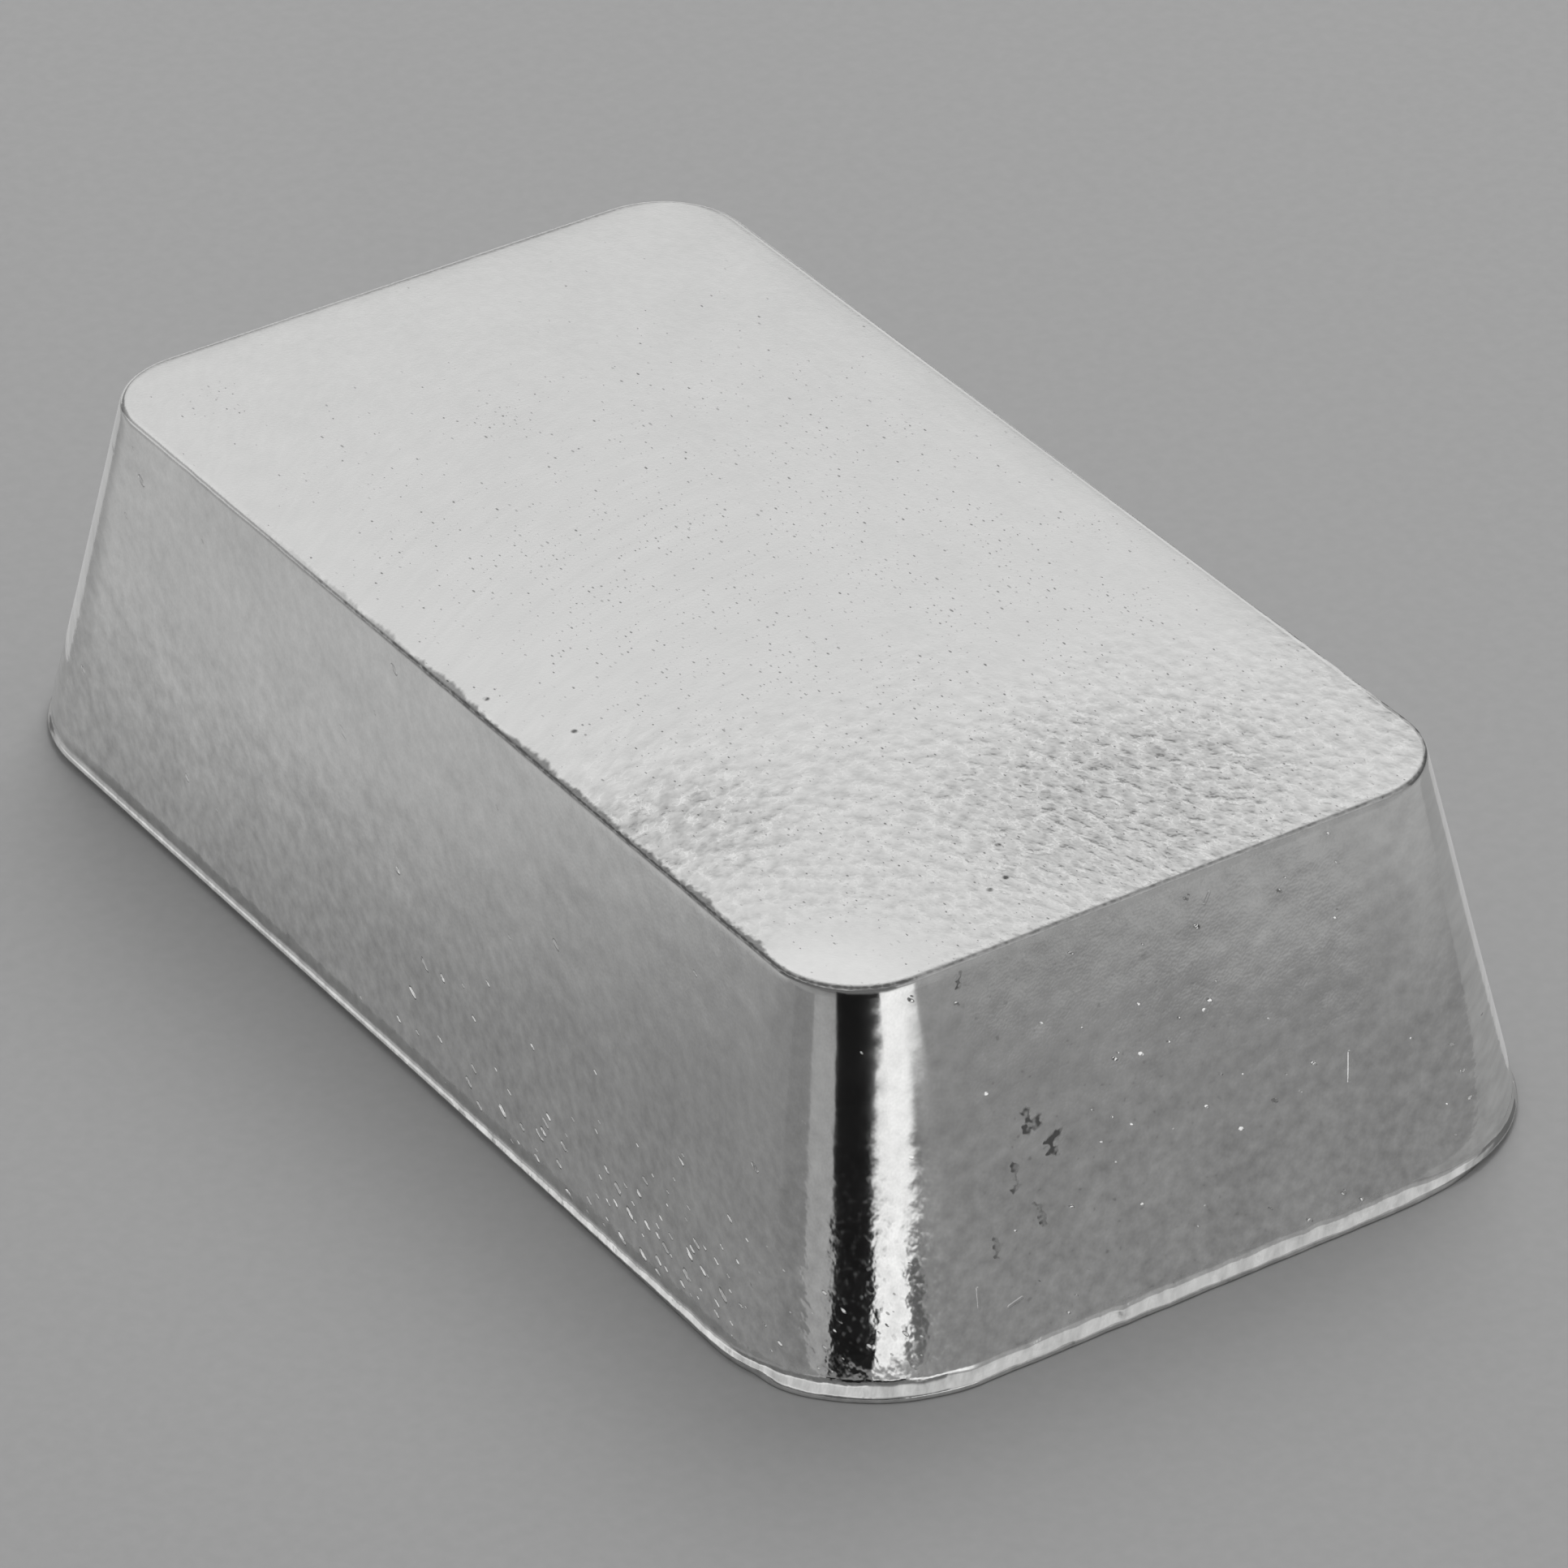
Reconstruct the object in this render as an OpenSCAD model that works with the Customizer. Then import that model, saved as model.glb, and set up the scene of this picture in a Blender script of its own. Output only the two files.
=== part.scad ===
// Cast silver bar: one solid piece of raw stock, left as it came out of the mould.
// Z is up from the foot, X runs along the bar, and the origin is at the middle of the foot.

/* [Foot] */
// Length of the foot, over its lip
foot_length = 93.5; // [70:0.5:130]
// Width of the foot, over its lip
foot_width = 54; // [40:0.5:75]
// Radius of the foot's corners, over its lip
foot_corner_r = 11.2; // [9:0.1:14]

/* [Walls] */
// Height of the bar, from foot to crown
height = 23.3; // [16:0.1:30]
// Draft of the long sides and of the corners, in degrees from upright
side_draft = 12.2; // [6:0.1:14]
// Draft of the two ends, in degrees from upright
end_draft = 15.1; // [6:0.1:20]
// Radius of the edge that runs round the crown
crown_edge_r = 0.4; // [0.2:0.05:1.5]

/* [Lip of the pour] */
// How far the lip stands out from the walls at the foot
lip_reach = 0.5; // [0.3:0.05:1]
// Height at which the lip flares out of the walls
lip_height = 1; // [0.7:0.05:2]
// Radius of the lip's nose
nose_r = 0.3; // [0.2:0.05:0.4]
// How much of the nose the flat foot takes off
nose_cut = 0.1; // [0.05:0.05:0.15]

/* [Hidden] */
$fn = 96;
// How far a shape runs on past a cut
cut_spare = 1;
// Axis that a corner's rounding turns about
corner_x = foot_length / 2 - foot_corner_r;
corner_y = foot_width / 2 - foot_corner_r;
// What an end leans in for each millimetre of height, beyond the lean of the sides
end_lean = tan(end_draft) - tan(side_draft);
// Distance of the walls from a corner's axis, at the foot and where the lip starts
wall_foot = foot_corner_r - lip_reach;
wall_lip = wall_foot - lip_height * tan(side_draft);
// Centre of the crown's edge, which touches both the wall and the crown
edge_z = height - crown_edge_r;
edge_x = wall_foot - (edge_z * sin(side_draft) + crown_edge_r) / cos(side_draft);
// Centre of the lip's nose
nose_z = nose_r - nose_cut;
nose_x = foot_corner_r - nose_r;
// Direction in which the flare faces, square to the line from the wall that touches the nose
flare_rise = lip_height - nose_z;
flare_run = nose_x - wall_lip;
flare_facing = 180 - atan2(flare_rise, flare_run) - acos(nose_r / norm([flare_rise, flare_run]));

// Half outline of the bar from a corner's axis out to the wall, run on below the foot.
module wall_section() {
    polygon([
        [0, -cut_spare],
        [nose_x, -cut_spare],
        [nose_x, nose_z],
        [nose_x + nose_r * cos(flare_facing), nose_z + nose_r * sin(flare_facing)],
        [wall_lip, lip_height],
        [edge_x + crown_edge_r * cos(side_draft), edge_z + crown_edge_r * sin(side_draft)],
        [edge_x, height],
        [0, height]
    ]);
    translate([edge_x, edge_z])
        circle(r = crown_edge_r);
    translate([nose_x, nose_z])
        circle(r = nose_r);
}

// Whole outline of the bar, from side to side.
module bar_section() {
    for (side = [0, 1])
        mirror([side, 0])
            translate([corner_y, 0])
                wall_section();
    translate([-corner_y, -cut_spare])
        square([2 * corner_y, height + cut_spare]);
}

// One end with its two round corners and the straight length behind it, with equal draft all round.
module upright_half() {
    translate([-foot_length, 0, 0])
        rotate([90, 0, 90])
            linear_extrude(height = foot_length)
                bar_section();
    rotate([90, 0, 0])
        linear_extrude(height = 2 * corner_y, center = true)
            wall_section();
    for (side = [0, 1])
        mirror([0, side, 0])
            translate([0, corner_y, 0])
                rotate_extrude(angle = 90)
                    wall_section();
}

// The same half leaning in to the draft of its end, cut off at the middle of the bar and at the foot.
module leaning_half() {
    intersection() {
        multmatrix([
            [1, 0, -end_lean, corner_x + end_lean * nose_z],
            [0, 1, 0, 0],
            [0, 0, 1, 0],
            [0, 0, 0, 1]
        ])
            upright_half();
        translate([0, -foot_width, 0])
            cube([foot_length, 2 * foot_width, height + cut_spare]);
    }
}

module silver_bar() {
    color([0.8, 0.8, 0.79])
        for (half = [0, 1])
            mirror([half, 0, 0])
                leaning_half();
}

silver_bar();
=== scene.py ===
# %% [markdown]
# # A cast silver bar
# The bar is one pour of silver, knocked out of a mould and left raw. It lies on its wide face, the foot,
# and the narrower crown faces up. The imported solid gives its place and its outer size, and this script
# gives it the uneven skin of a casting. Blender counts in metres, but the trees below count in
# millimetres, as a caster would.

# %% Load the frame
from math import cos, pi, radians, sin

import bpy
from mathutils import Matrix, Vector


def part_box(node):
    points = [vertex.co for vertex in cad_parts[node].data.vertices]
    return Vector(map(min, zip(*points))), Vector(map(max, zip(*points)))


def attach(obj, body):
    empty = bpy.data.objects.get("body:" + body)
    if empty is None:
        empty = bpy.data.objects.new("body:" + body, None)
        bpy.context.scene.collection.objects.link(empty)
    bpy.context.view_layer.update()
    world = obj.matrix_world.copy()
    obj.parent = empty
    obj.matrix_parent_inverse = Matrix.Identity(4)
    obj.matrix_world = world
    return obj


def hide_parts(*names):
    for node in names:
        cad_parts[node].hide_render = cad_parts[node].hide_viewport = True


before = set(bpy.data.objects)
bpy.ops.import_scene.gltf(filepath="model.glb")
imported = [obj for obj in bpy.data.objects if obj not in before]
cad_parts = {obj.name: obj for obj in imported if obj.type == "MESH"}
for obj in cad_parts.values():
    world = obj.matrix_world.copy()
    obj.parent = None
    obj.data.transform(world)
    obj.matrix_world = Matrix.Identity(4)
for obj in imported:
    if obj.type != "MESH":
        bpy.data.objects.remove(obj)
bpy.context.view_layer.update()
MM = 0.001
low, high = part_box("silver_bar")
length_mm, width_mm, height_mm = [side / MM for side in high - low]
print(f"nodes: {len(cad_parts)}, bar: {length_mm:.1f} x {width_mm:.1f} x {height_mm:.1f} mm")

# %% [markdown]
# ## Camera
# The picture is taken from above the near corner with a long lens, so the bar's edges stay nearly
# parallel. A long lens far away and a short lens close by can frame the same bar, but only the first
# keeps the far end this wide. The camera is turned by three angles and then backed away from the point
# that sits in the middle of the picture.

# %% Camera
IMAGE_SIDE = 1932
FOCAL_PIXELS = 11598
VIEW_AZIMUTH = radians(56.9)
VIEW_ELEVATION = radians(33.26)
VIEW_ROLL = radians(0.83)
VIEW_DISTANCE = 557.2 * MM
CENTRE_RIGHT = 1.47 * MM
CENTRE_UP = 6.93 * MM

camera_data = bpy.data.cameras.new("camera")
camera_data.sensor_width = 36
camera_data.lens = camera_data.sensor_width * FOCAL_PIXELS / IMAGE_SIDE
camera_data.clip_start = 10 * MM
turn = (
    Matrix.Rotation(VIEW_AZIMUTH, 3, "Z")
    @ Matrix.Rotation(pi / 2 - VIEW_ELEVATION, 3, "X")
    @ Matrix.Rotation(-VIEW_ROLL, 3, "Z")
)
stand = turn @ Vector((CENTRE_RIGHT, CENTRE_UP, VIEW_DISTANCE))
camera = bpy.data.objects.new("camera", camera_data)
camera.matrix_world = Matrix.Translation(stand) @ turn.to_4x4()
bpy.context.scene.collection.objects.link(camera)
bpy.context.scene.camera = camera
print(f"camera: {camera_data.lens:.0f} mm lens at {[round(part, 3) for part in stand]}")

# %% [markdown]
# ## Formulas as nodes
# Both the shape and the finish of the bar follow formulas. Nodes can work a formula out, but a long one
# takes dozens of Math nodes, and wiring them by hand hides what it says. The small class below adds a
# Math node whenever two fields are added or multiplied, so that a formula reads in the script as it would
# on paper.


# %% Fields
class Field:
    """A number or a vector that nodes work out at every point."""

    def __init__(self, tree, socket):
        self.tree = tree
        self.socket = socket

    def do(self, operation, *others):
        """Adds a Math node that starts from this field."""
        return calculate(self.tree, operation, self, *others)

    def __add__(self, other):
        return self.do("ADD", other)

    def __sub__(self, other):
        return self.do("SUBTRACT", other)

    def __mul__(self, other):
        return self.do("MULTIPLY", other)

    def __truediv__(self, other):
        return self.do("DIVIDE", other)

    def __rsub__(self, other):
        return calculate(self.tree, "SUBTRACT", other, self)

    __radd__ = __add__
    __rmul__ = __mul__


def plug(tree, value, socket):
    """Links a field or another node's output to a socket, or sets the socket's own value."""
    if isinstance(value, Field):
        value = value.socket
    if isinstance(value, bpy.types.NodeSocket):
        tree.links.new(value, socket)
    else:
        socket.default_value = value


def add_node(tree, kind, feeds=None, **options):
    """Adds a node with these options and feeds its inputs."""
    made = tree.nodes.new(kind)
    for option, choice in options.items():
        setattr(made, option, choice)
    for name, value in (feeds or {}).items():
        plug(tree, value, made.inputs[name])
    return made


def calculate(tree, operation, *values):
    """Adds one Math node and gives its result as a field."""
    made = add_node(tree, "ShaderNodeMath", dict(enumerate(values)), operation=operation)
    return Field(tree, made.outputs[0])


print("fields ready")


# %% Vectors
def split(vector):
    """The three parts of a vector."""
    made = add_node(vector.tree, "ShaderNodeSeparateXYZ", {0: vector})
    return [Field(vector.tree, out) for out in made.outputs]


def join(tree, x, y, z):
    """A vector from its three parts."""
    return Field(tree, add_node(tree, "ShaderNodeCombineXYZ", {0: x, 1: y, 2: z}).outputs[0])


def calculate_vector(tree, operation, result, feeds):
    """Adds one Vector Math node and gives that result of it as a field."""
    made = add_node(tree, "ShaderNodeVectorMath", feeds, operation=operation)
    return Field(tree, made.outputs[result])


def from_point(at, point):
    """Distance from a point."""
    return calculate_vector(at.tree, "DISTANCE", "Value", {0: at, 1: point})


print("vectors ready")

# %% Ramps and unevenness
NOISE_SPREAD = 3.2


def ramp(field, start, end):
    """Rises smoothly from 0 at start to 1 at end."""
    feeds = {"Value": field, "From Min": start, "From Max": end}
    made = add_node(field.tree, "ShaderNodeMapRange", feeds, interpolation_type="SMOOTHSTEP")
    return Field(field.tree, made.outputs[0])


def uneven(at, size, seed, detail=1.0):
    """Random unevenness from about -1 to 1, with swellings of about that size."""
    feeds = {"Vector": at, "W": seed, "Scale": 1 / size, "Detail": detail}
    made = add_node(at.tree, "ShaderNodeTexNoise", feeds, noise_dimensions="4D")
    return Field(at.tree, made.outputs[0]) * NOISE_SPREAD - NOISE_SPREAD / 2


def flat_uneven(first, second, detail):
    """Unevenness over two coordinates, about 1 wide, which is quicker than over three."""
    feeds = {"Vector": join(first.tree, first, second, 0.0), "Scale": 1.0, "Detail": detail}
    made = add_node(first.tree, "ShaderNodeTexNoise", feeds, noise_dimensions="2D")
    return Field(first.tree, made.outputs[0]) * NOISE_SPREAD - NOISE_SPREAD / 2


def either(first, second, share):
    """The first value where the share is 1 and the second where it is 0."""
    return second + (first - second) * share


print("ramps and unevenness ready")

# %% [markdown]
# ## Floor
# A bare metal shows little but what stands around it, so the studio is made first. The floor is a plain
# pale sheet. Its faint grain keeps it from looking computed, and a wide plane needs no edge that could
# show in the walls.


# %% Floor
def new_material(title):
    """An empty material with its shader and its output wired up."""
    material = bpy.data.materials.new(title)
    material.use_nodes = True
    tree = material.node_tree
    tree.nodes.clear()
    shader = add_node(tree, "ShaderNodeBsdfPrincipled")
    add_node(tree, "ShaderNodeOutputMaterial", {"Surface": shader.outputs["BSDF"]})
    return material, tree, shader


def flat_piece(title, outline, material):
    """A flat sheet with this outline, as part of the studio."""
    mesh = bpy.data.meshes.new(title)
    mesh.from_pydata(outline, [], [range(len(outline))])
    mesh.materials.append(material)
    piece = bpy.data.objects.new(title, mesh)
    bpy.context.scene.collection.objects.link(piece)
    return piece


def own_place(tree):
    """A point's place on its own piece, in metres."""
    return Field(tree, add_node(tree, "ShaderNodeTexCoord").outputs["Object"])


FLOOR_REACH = 3.0
FLOOR_TONE = 0.45
FLOOR_TONE_SPREAD = 0.012
FLOOR_GRAIN = 0.9 * MM
FLOOR_CORNERS = [(-1, -1, 0), (1, -1, 0), (1, 1, 0), (-1, 1, 0)]

floor_material, tree, shader = new_material("pale_floor")
floor_x, floor_y = split(own_place(tree))[:2]
tone = flat_uneven(floor_x / FLOOR_GRAIN, floor_y / FLOOR_GRAIN, 2.0) * FLOOR_TONE_SPREAD + FLOOR_TONE
plug(tree, join(tree, tone, tone, tone), shader.inputs["Base Color"])
shader.inputs["Roughness"].default_value = 0.9
shader.inputs["Specular IOR Level"].default_value = 0.1
floor = flat_piece("floor", [Vector(corner) * FLOOR_REACH for corner in FLOOR_CORNERS], floor_material)
print("floor:", floor.dimensions.x, "m square")

# %% [markdown]
# ## Light
# Soft light comes from all round: dim at the horizon and stronger overhead, which is what a bar in a
# bright room sees. A large softbox behind the bar lights the crown by reflection, because a flat mirror
# only shows what is opposite the camera. An overhead lamp that reflections leave out brings the floor up
# to its tone.

# %% World
HORIZON_LEVEL = 0.16
OVERHEAD_LEVEL = 0.62
RISE_START = 0.3
RISE_END = 0.85

world = bpy.data.worlds.new("studio")
world.use_nodes = True
bpy.context.scene.world = world
tree = world.node_tree
tree.nodes.clear()
look = Field(tree, add_node(tree, "ShaderNodeTexCoord").outputs["Generated"])
level = ramp(split(look)[2], RISE_START, RISE_END) * (OVERHEAD_LEVEL - HORIZON_LEVEL) + HORIZON_LEVEL
glow = add_node(tree, "ShaderNodeBackground", {"Color": join(tree, level, level, level)})
add_node(tree, "ShaderNodeOutputWorld", {"Surface": glow.outputs["Background"]})
bpy.context.scene.view_settings.view_transform = "Standard"
print(f"world: {HORIZON_LEVEL} at the horizon, {OVERHEAD_LEVEL} overhead")


# %% Lamps
def softbox(title, towards, distance, sides, level, in_reflections):
    """A lamp in that direction from the bar, of that brightness as the bar sees it."""
    data = bpy.data.lights.new(title, "AREA")
    data.shape = "RECTANGLE"
    data.size, data.size_y = sides
    data.energy = level * pi * sides[0] * sides[1]
    away = Vector(towards).normalized()
    lamp = bpy.data.objects.new(title, data)
    facing_bar = away.to_track_quat("Z", "Y").to_matrix().to_4x4()
    lamp.matrix_world = Matrix.Translation(away * distance) @ facing_bar
    lamp.visible_camera = False
    lamp.visible_glossy = in_reflections
    bpy.context.scene.collection.objects.link(lamp)
    print(f"{title}: {data.energy:.2f} W")


BEHIND = (-0.70, 0.46, 0.55)
OVERHEAD = (-0.40, 0.42, 0.82)
softbox("back_softbox", BEHIND, distance=1.0, sides=(0.55, 0.4), level=0.45, in_reflections=True)
softbox("top_softbox", OVERHEAD, distance=1.2, sides=(0.7, 0.7), level=3.5, in_reflections=False)

# %% [markdown]
# ## Cards
# A photographer shapes the look of polished metal with cards that it reflects. The round corner sweeps
# past a wide stretch of the room, so a dark and a white sheet on the table show there as two upright
# strips. Wider sheets beside the walls set how pale each wall is, screens behind the bar light its far
# edges, and high screens light the lip and the small facets that tilt up. The cards are only meant for
# reflections, so the camera, the floor and the shadows leave them out. Their outlines are in millimetres,
# seen from above.

# %% Outlines of the cards
BORDER = [(52, -27), (99, -55), (135, -72), (210, -84), (270, -74)]
BLACK_SIDE = [(143, -175), (86, -93), (46, -30)]
WHITE_SIDE = [(186, 46), (186, 8), (141, -18), (108, -30), (58, -24)]
FRINGE_SIDE = [(56, -20), (105, -20), (136, -6), (178, 22), (186, 62)]
PALE = [(46, -30), (86, -93), (143, -175), (70, -176), (44, -30)]
DIM = [(44, -30), (70, -176), (8, -176), (41, -30)]
BOUNCE = [(41, -30), (8, -176), (-60, -240), (-260, -240), (-260, -28), (41, -28)]
GREY = FRINGE_SIDE + [(260, 140), (200, 240), (49, 120), (49, -20)]
RIGHT_EDGE = [(40, 27), (-28, 155), (-130, 125), (20, 28)]
LEFT_EDGE = [(-50, -26), (-190, -26), (-180, 70), (-50, 5)]
BACK = [(-349, -30), (-294, 191), (-120, 329)]
LEFT = [(-386, -104), (-169, -363)]
RIGHT = [(400, 20), (200, 346)]
FRONT = [(-169, -363), (98, -367), (300, -235)]
CARD_LIFT = 0.3
CARD_RISE = 30
BACK_RISE = 110
LEFT_RISE = 150
HIGH_LEFT_RISE = 330
RIGHT_RISE = 130
HIGH_RIGHT_RISE = 480
FRONT_RISE = 190
HIGH_FRONT_RISE = 480


def lying(points):
    """The outline of a sheet just above the floor."""
    return [(x, y, CARD_LIFT) for x, y in points]


def standing(start, end, top, bottom=0):
    """The outline of an upright screen between two points."""
    return [(*start, bottom), (*end, bottom), (*end, top), (*start, top)]


print("screens: up to", HIGH_FRONT_RISE, "mm high")

# %% Tones of the cards
BLACK_TONE = 0.01
WHITE_TONE = 1.04
WALL_TONE = 0.265
BACK_TONE = 0.75
FRONT_TONE = 0.75


def bounce_tone(x, y):
    """Paler away from the bar, and most of all beside its far half."""
    return ramp(x, 8, -50) * (ramp(y, -28, -52) * 0.14 + 0.08) + WALL_TONE


def grey_tone(x, y):
    """Paler beside the far half of the end."""
    return ramp(y, 48, 88) * 0.15 + WALL_TONE


def card(title, outline, tone):
    """A sheet that only reflections see. Its tone is a number, or a rule from its place in millimetres."""
    material, tree, shader = new_material(title)
    shader.inputs["Base Color"].default_value = (0, 0, 0, 1)
    shader.inputs["Specular IOR Level"].default_value = 0
    shader.inputs["Emission Color"].default_value = (1, 1, 1, 1)
    if callable(tone):
        card_x, card_y = split(own_place(tree))[:2]
        tone = tone(card_x / MM, card_y / MM)
    plug(tree, tone, shader.inputs["Emission Strength"])
    sheet = flat_piece(title, [(x * MM, y * MM, z * MM) for x, y, z in outline], material)
    for kind in ("camera", "diffuse", "transmission", "volume_scatter", "shadow"):
        setattr(sheet, "visible_" + kind, False)


print("tones: from", BLACK_TONE, "to", WHITE_TONE)

# %% Cards
CARDS = {
    "black_sheet": (lying(BORDER + BLACK_SIDE), BLACK_TONE),
    "black_screen": (standing(BORDER[-1], BLACK_SIDE[0], CARD_RISE), BLACK_TONE),
    "white_sheet": (lying(BORDER + WHITE_SIDE), WHITE_TONE),
    "white_screen": (standing(BORDER[-1], WHITE_SIDE[0], CARD_RISE), WHITE_TONE),
    "fringe_sheet": (lying(WHITE_SIDE + FRINGE_SIDE), 0.12),
    "pale_sheet": (lying(PALE), 0.375),
    "dim_sheet": (lying(DIM), 0.235),
    "bounce_sheet": (lying(BOUNCE), bounce_tone),
    "grey_sheet": (lying(GREY), grey_tone),
    "right_edge_sheet": (lying(RIGHT_EDGE), 0.5),
    "left_edge_sheet": (lying(LEFT_EDGE), 0.52),
    "back_screen": (standing(BACK[0], BACK[1], BACK_RISE), BACK_TONE),
    "side_screen": (standing(BACK[1], BACK[2], BACK_RISE), BACK_TONE),
    "left_screen": (standing(LEFT[0], LEFT[1], LEFT_RISE), 0.42),
    "high_left_screen": (standing(LEFT[0], LEFT[1], HIGH_LEFT_RISE, LEFT_RISE), 0.78),
    "right_screen": (standing(RIGHT[0], RIGHT[1], RIGHT_RISE), 0.35),
    "front_screen": (standing(FRONT[0], FRONT[1], HIGH_FRONT_RISE, FRONT_RISE), FRONT_TONE),
    "corner_screen": (standing(FRONT[1], FRONT[2], HIGH_FRONT_RISE, FRONT_RISE), FRONT_TONE),
    "high_right_screen": (standing(RIGHT[0], RIGHT[1], HIGH_RIGHT_RISE, RIGHT_RISE), 0.6),
}
for title, (outline, tone) in CARDS.items():
    card(title, outline, tone)
print("cards:", len(CARDS))

# %% [markdown]
# ## The drafted bar
# The bar's shape follows a rule: one outline of the wall, with the nose of the lip, its flare, the
# slanting wall and the rounded crown edge, goes round a rectangle with round corners. A modeller could
# bevel a block, but then the lip and the taper of the corners would have to be pushed by hand. Here a
# block of fine squares is bent into that shape by formula, so every size stays a named input. The squares
# are small enough to carry the casting's relief later.

# %% Inputs of the drafted bar
BAR_SIZES = {
    "Foot length": length_mm,
    "Foot width": width_mm,
    "Height": height_mm,
    "Foot corner radius": 11.2,
    "Side draft": radians(12.2),
    "End draft": radians(15.1),
    "Crown edge radius": 0.4,
    "Lip reach": 0.5,
    "Lip height": 0.75,
    "Nose radius": 0.3,
    "Nose cut": 0.1,
    "Cells along": 250,
    "Cells across": 140,
    "Cells round": 19,
    "Nose rows": 5,
    "Flare rows": 5,
    "Wall rows": 58,
    "Edge rows": 4,
}
SOCKETS = {float: "NodeSocketFloat", int: "NodeSocketInt"}
silver_material, silver_tree, silver_shader = new_material("cast_silver")


def new_tree(title, sizes):
    """A tree of geometry nodes with these named inputs, and a field for everything that comes in."""
    tree = bpy.data.node_groups.new(title, "GeometryNodeTree")
    tree.is_modifier = True
    tree.interface.new_socket("Geometry", in_out="INPUT", socket_type="NodeSocketGeometry")
    tree.interface.new_socket("Geometry", in_out="OUTPUT", socket_type="NodeSocketGeometry")
    for name, value in sizes.items():
        tree.interface.new_socket(name, in_out="INPUT", socket_type=SOCKETS[type(value)])
    given = add_node(tree, "NodeGroupInput")
    return tree, {out.name: Field(tree, out) for out in given.outputs if out.name}


def in_silver(tree, geometry):
    """Real geometry of silver, with its instances made real. Instances are made real
    because the export drops them.
    """
    real = add_node(tree, "GeometryNodeRealizeInstances", {"Geometry": geometry})
    feeds = {"Geometry": real.outputs["Geometry"], "Material": silver_material}
    return add_node(tree, "GeometryNodeSetMaterial", feeds).outputs["Geometry"]


tree, size = new_tree("drafted_bar", BAR_SIZES)
print("inputs of the drafted bar:", len(BAR_SIZES))

# %% Rows of the wall
rows = size["Nose rows"] + size["Flare rows"] + size["Wall rows"] + size["Edge rows"]
cell_counts = (size["Cells along"], size["Cells across"], rows)
block_feeds = {f"Vertices {axis}": count + 1 for axis, count in zip("XYZ", cell_counts)}
block = add_node(tree, "GeometryNodeMeshCube", {"Size": (2, 2, 2), **block_feeds})
along, across, up = split(Field(tree, add_node(tree, "GeometryNodeInputPosition").outputs[0]))
row = (up + 1) * 0.5 * rows


def part_way(first_row, row_count):
    """How far a row is through a stretch of rows, from 0 to 1."""
    return ((row - first_row) / row_count).do("MAXIMUM", 0).do("MINIMUM", 1)


in_nose = part_way(0, size["Nose rows"])
in_flare = part_way(size["Nose rows"], size["Flare rows"])
in_wall = part_way(size["Nose rows"] + size["Flare rows"], size["Wall rows"])
in_edge = part_way(rows - size["Edge rows"], size["Edge rows"])
print("rows: nose, flare, wall and crown edge")

# %% Lip in the outline
side_slope = size["Side draft"].do("TANGENT")
wall_foot = size["Foot corner radius"] - size["Lip reach"]
wall_lip = wall_foot - size["Lip height"] * side_slope
nose_up = size["Nose radius"] - size["Nose cut"]
nose_out = size["Foot corner radius"] - size["Nose radius"]
flare_rise = size["Lip height"] - nose_up
flare_run = nose_out - wall_lip
flare_reach = (flare_rise * flare_rise + flare_run * flare_run).do("SQRT")
flare_facing = pi - flare_rise.do("ARCTAN2", flare_run) - (size["Nose radius"] / flare_reach).do("ARCCOSINE")
nose_start = (nose_up / size["Nose radius"]).do("ARCSINE") * -1
nose_turn = nose_start + (flare_facing - nose_start) * in_nose
lip_out = nose_out + size["Nose radius"] * nose_turn.do("COSINE")
lip_up = nose_up + size["Nose radius"] * nose_turn.do("SINE")
lip_out = lip_out + (wall_lip - lip_out) * in_flare
lip_up = lip_up + (size["Lip height"] - lip_up) * in_flare
lip_stand = lip_out - (wall_foot - lip_up * side_slope)
print("lip: nose and flare")

# %% Distance and height of every row
edge_radius = size["Crown edge radius"]
edge_turn = size["Side draft"] + (pi / 2 - size["Side draft"]) * in_edge
edge_up = size["Height"] - edge_radius
edge_bottom = edge_up + edge_radius * size["Side draft"].do("SINE")
over_edge = edge_radius * (edge_turn.do("COSINE") - size["Side draft"].do("COSINE"))
wall_rise = (edge_bottom - size["Lip height"]) * in_wall
row_up = lip_up + wall_rise
row_up = row_up + edge_radius * (edge_turn.do("SINE") - size["Side draft"].do("SINE"))
row_out = lip_out - wall_rise * side_slope + over_edge
print("rows: distance from the corner's axis and height")


# %% Bend the block
def around(place, cells, other, other_cells):
    """Straight and round part of a point's place along one axis of the outline."""
    straight = 1 - size["Cells round"] * 2 / cells
    other_straight = 1 - size["Cells round"] * 2 / other_cells
    bend = ((place.do("ABSOLUTE") - straight) / (1 - straight)).do("MAXIMUM", 0)
    other_bend = ((other.do("ABSOLUTE") - other_straight) / (1 - other_straight)).do("MAXIMUM", 0)
    outwards = place.do("SIGN") * bend * (1 - other_bend * other_bend * 0.5).do("SQRT")
    line = place.do("SIGN") * (place.do("ABSOLUTE") / straight).do("MINIMUM", 1)
    return line, outwards


corner_x = size["Foot length"] / 2 - size["Foot corner radius"]
corner_y = size["Foot width"] / 2 - size["Foot corner radius"]
line_x, out_x = around(along, size["Cells along"], across, size["Cells across"])
line_y, out_y = around(across, size["Cells across"], along, size["Cells along"])
end_lean = size["End draft"].do("TANGENT") - side_slope
bar_x = line_x * corner_x + out_x * row_out - line_x * end_lean * (row_up - nose_up)
bar_y = line_y * corner_y + out_y * row_out
print("block bent round the outline")


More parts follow.
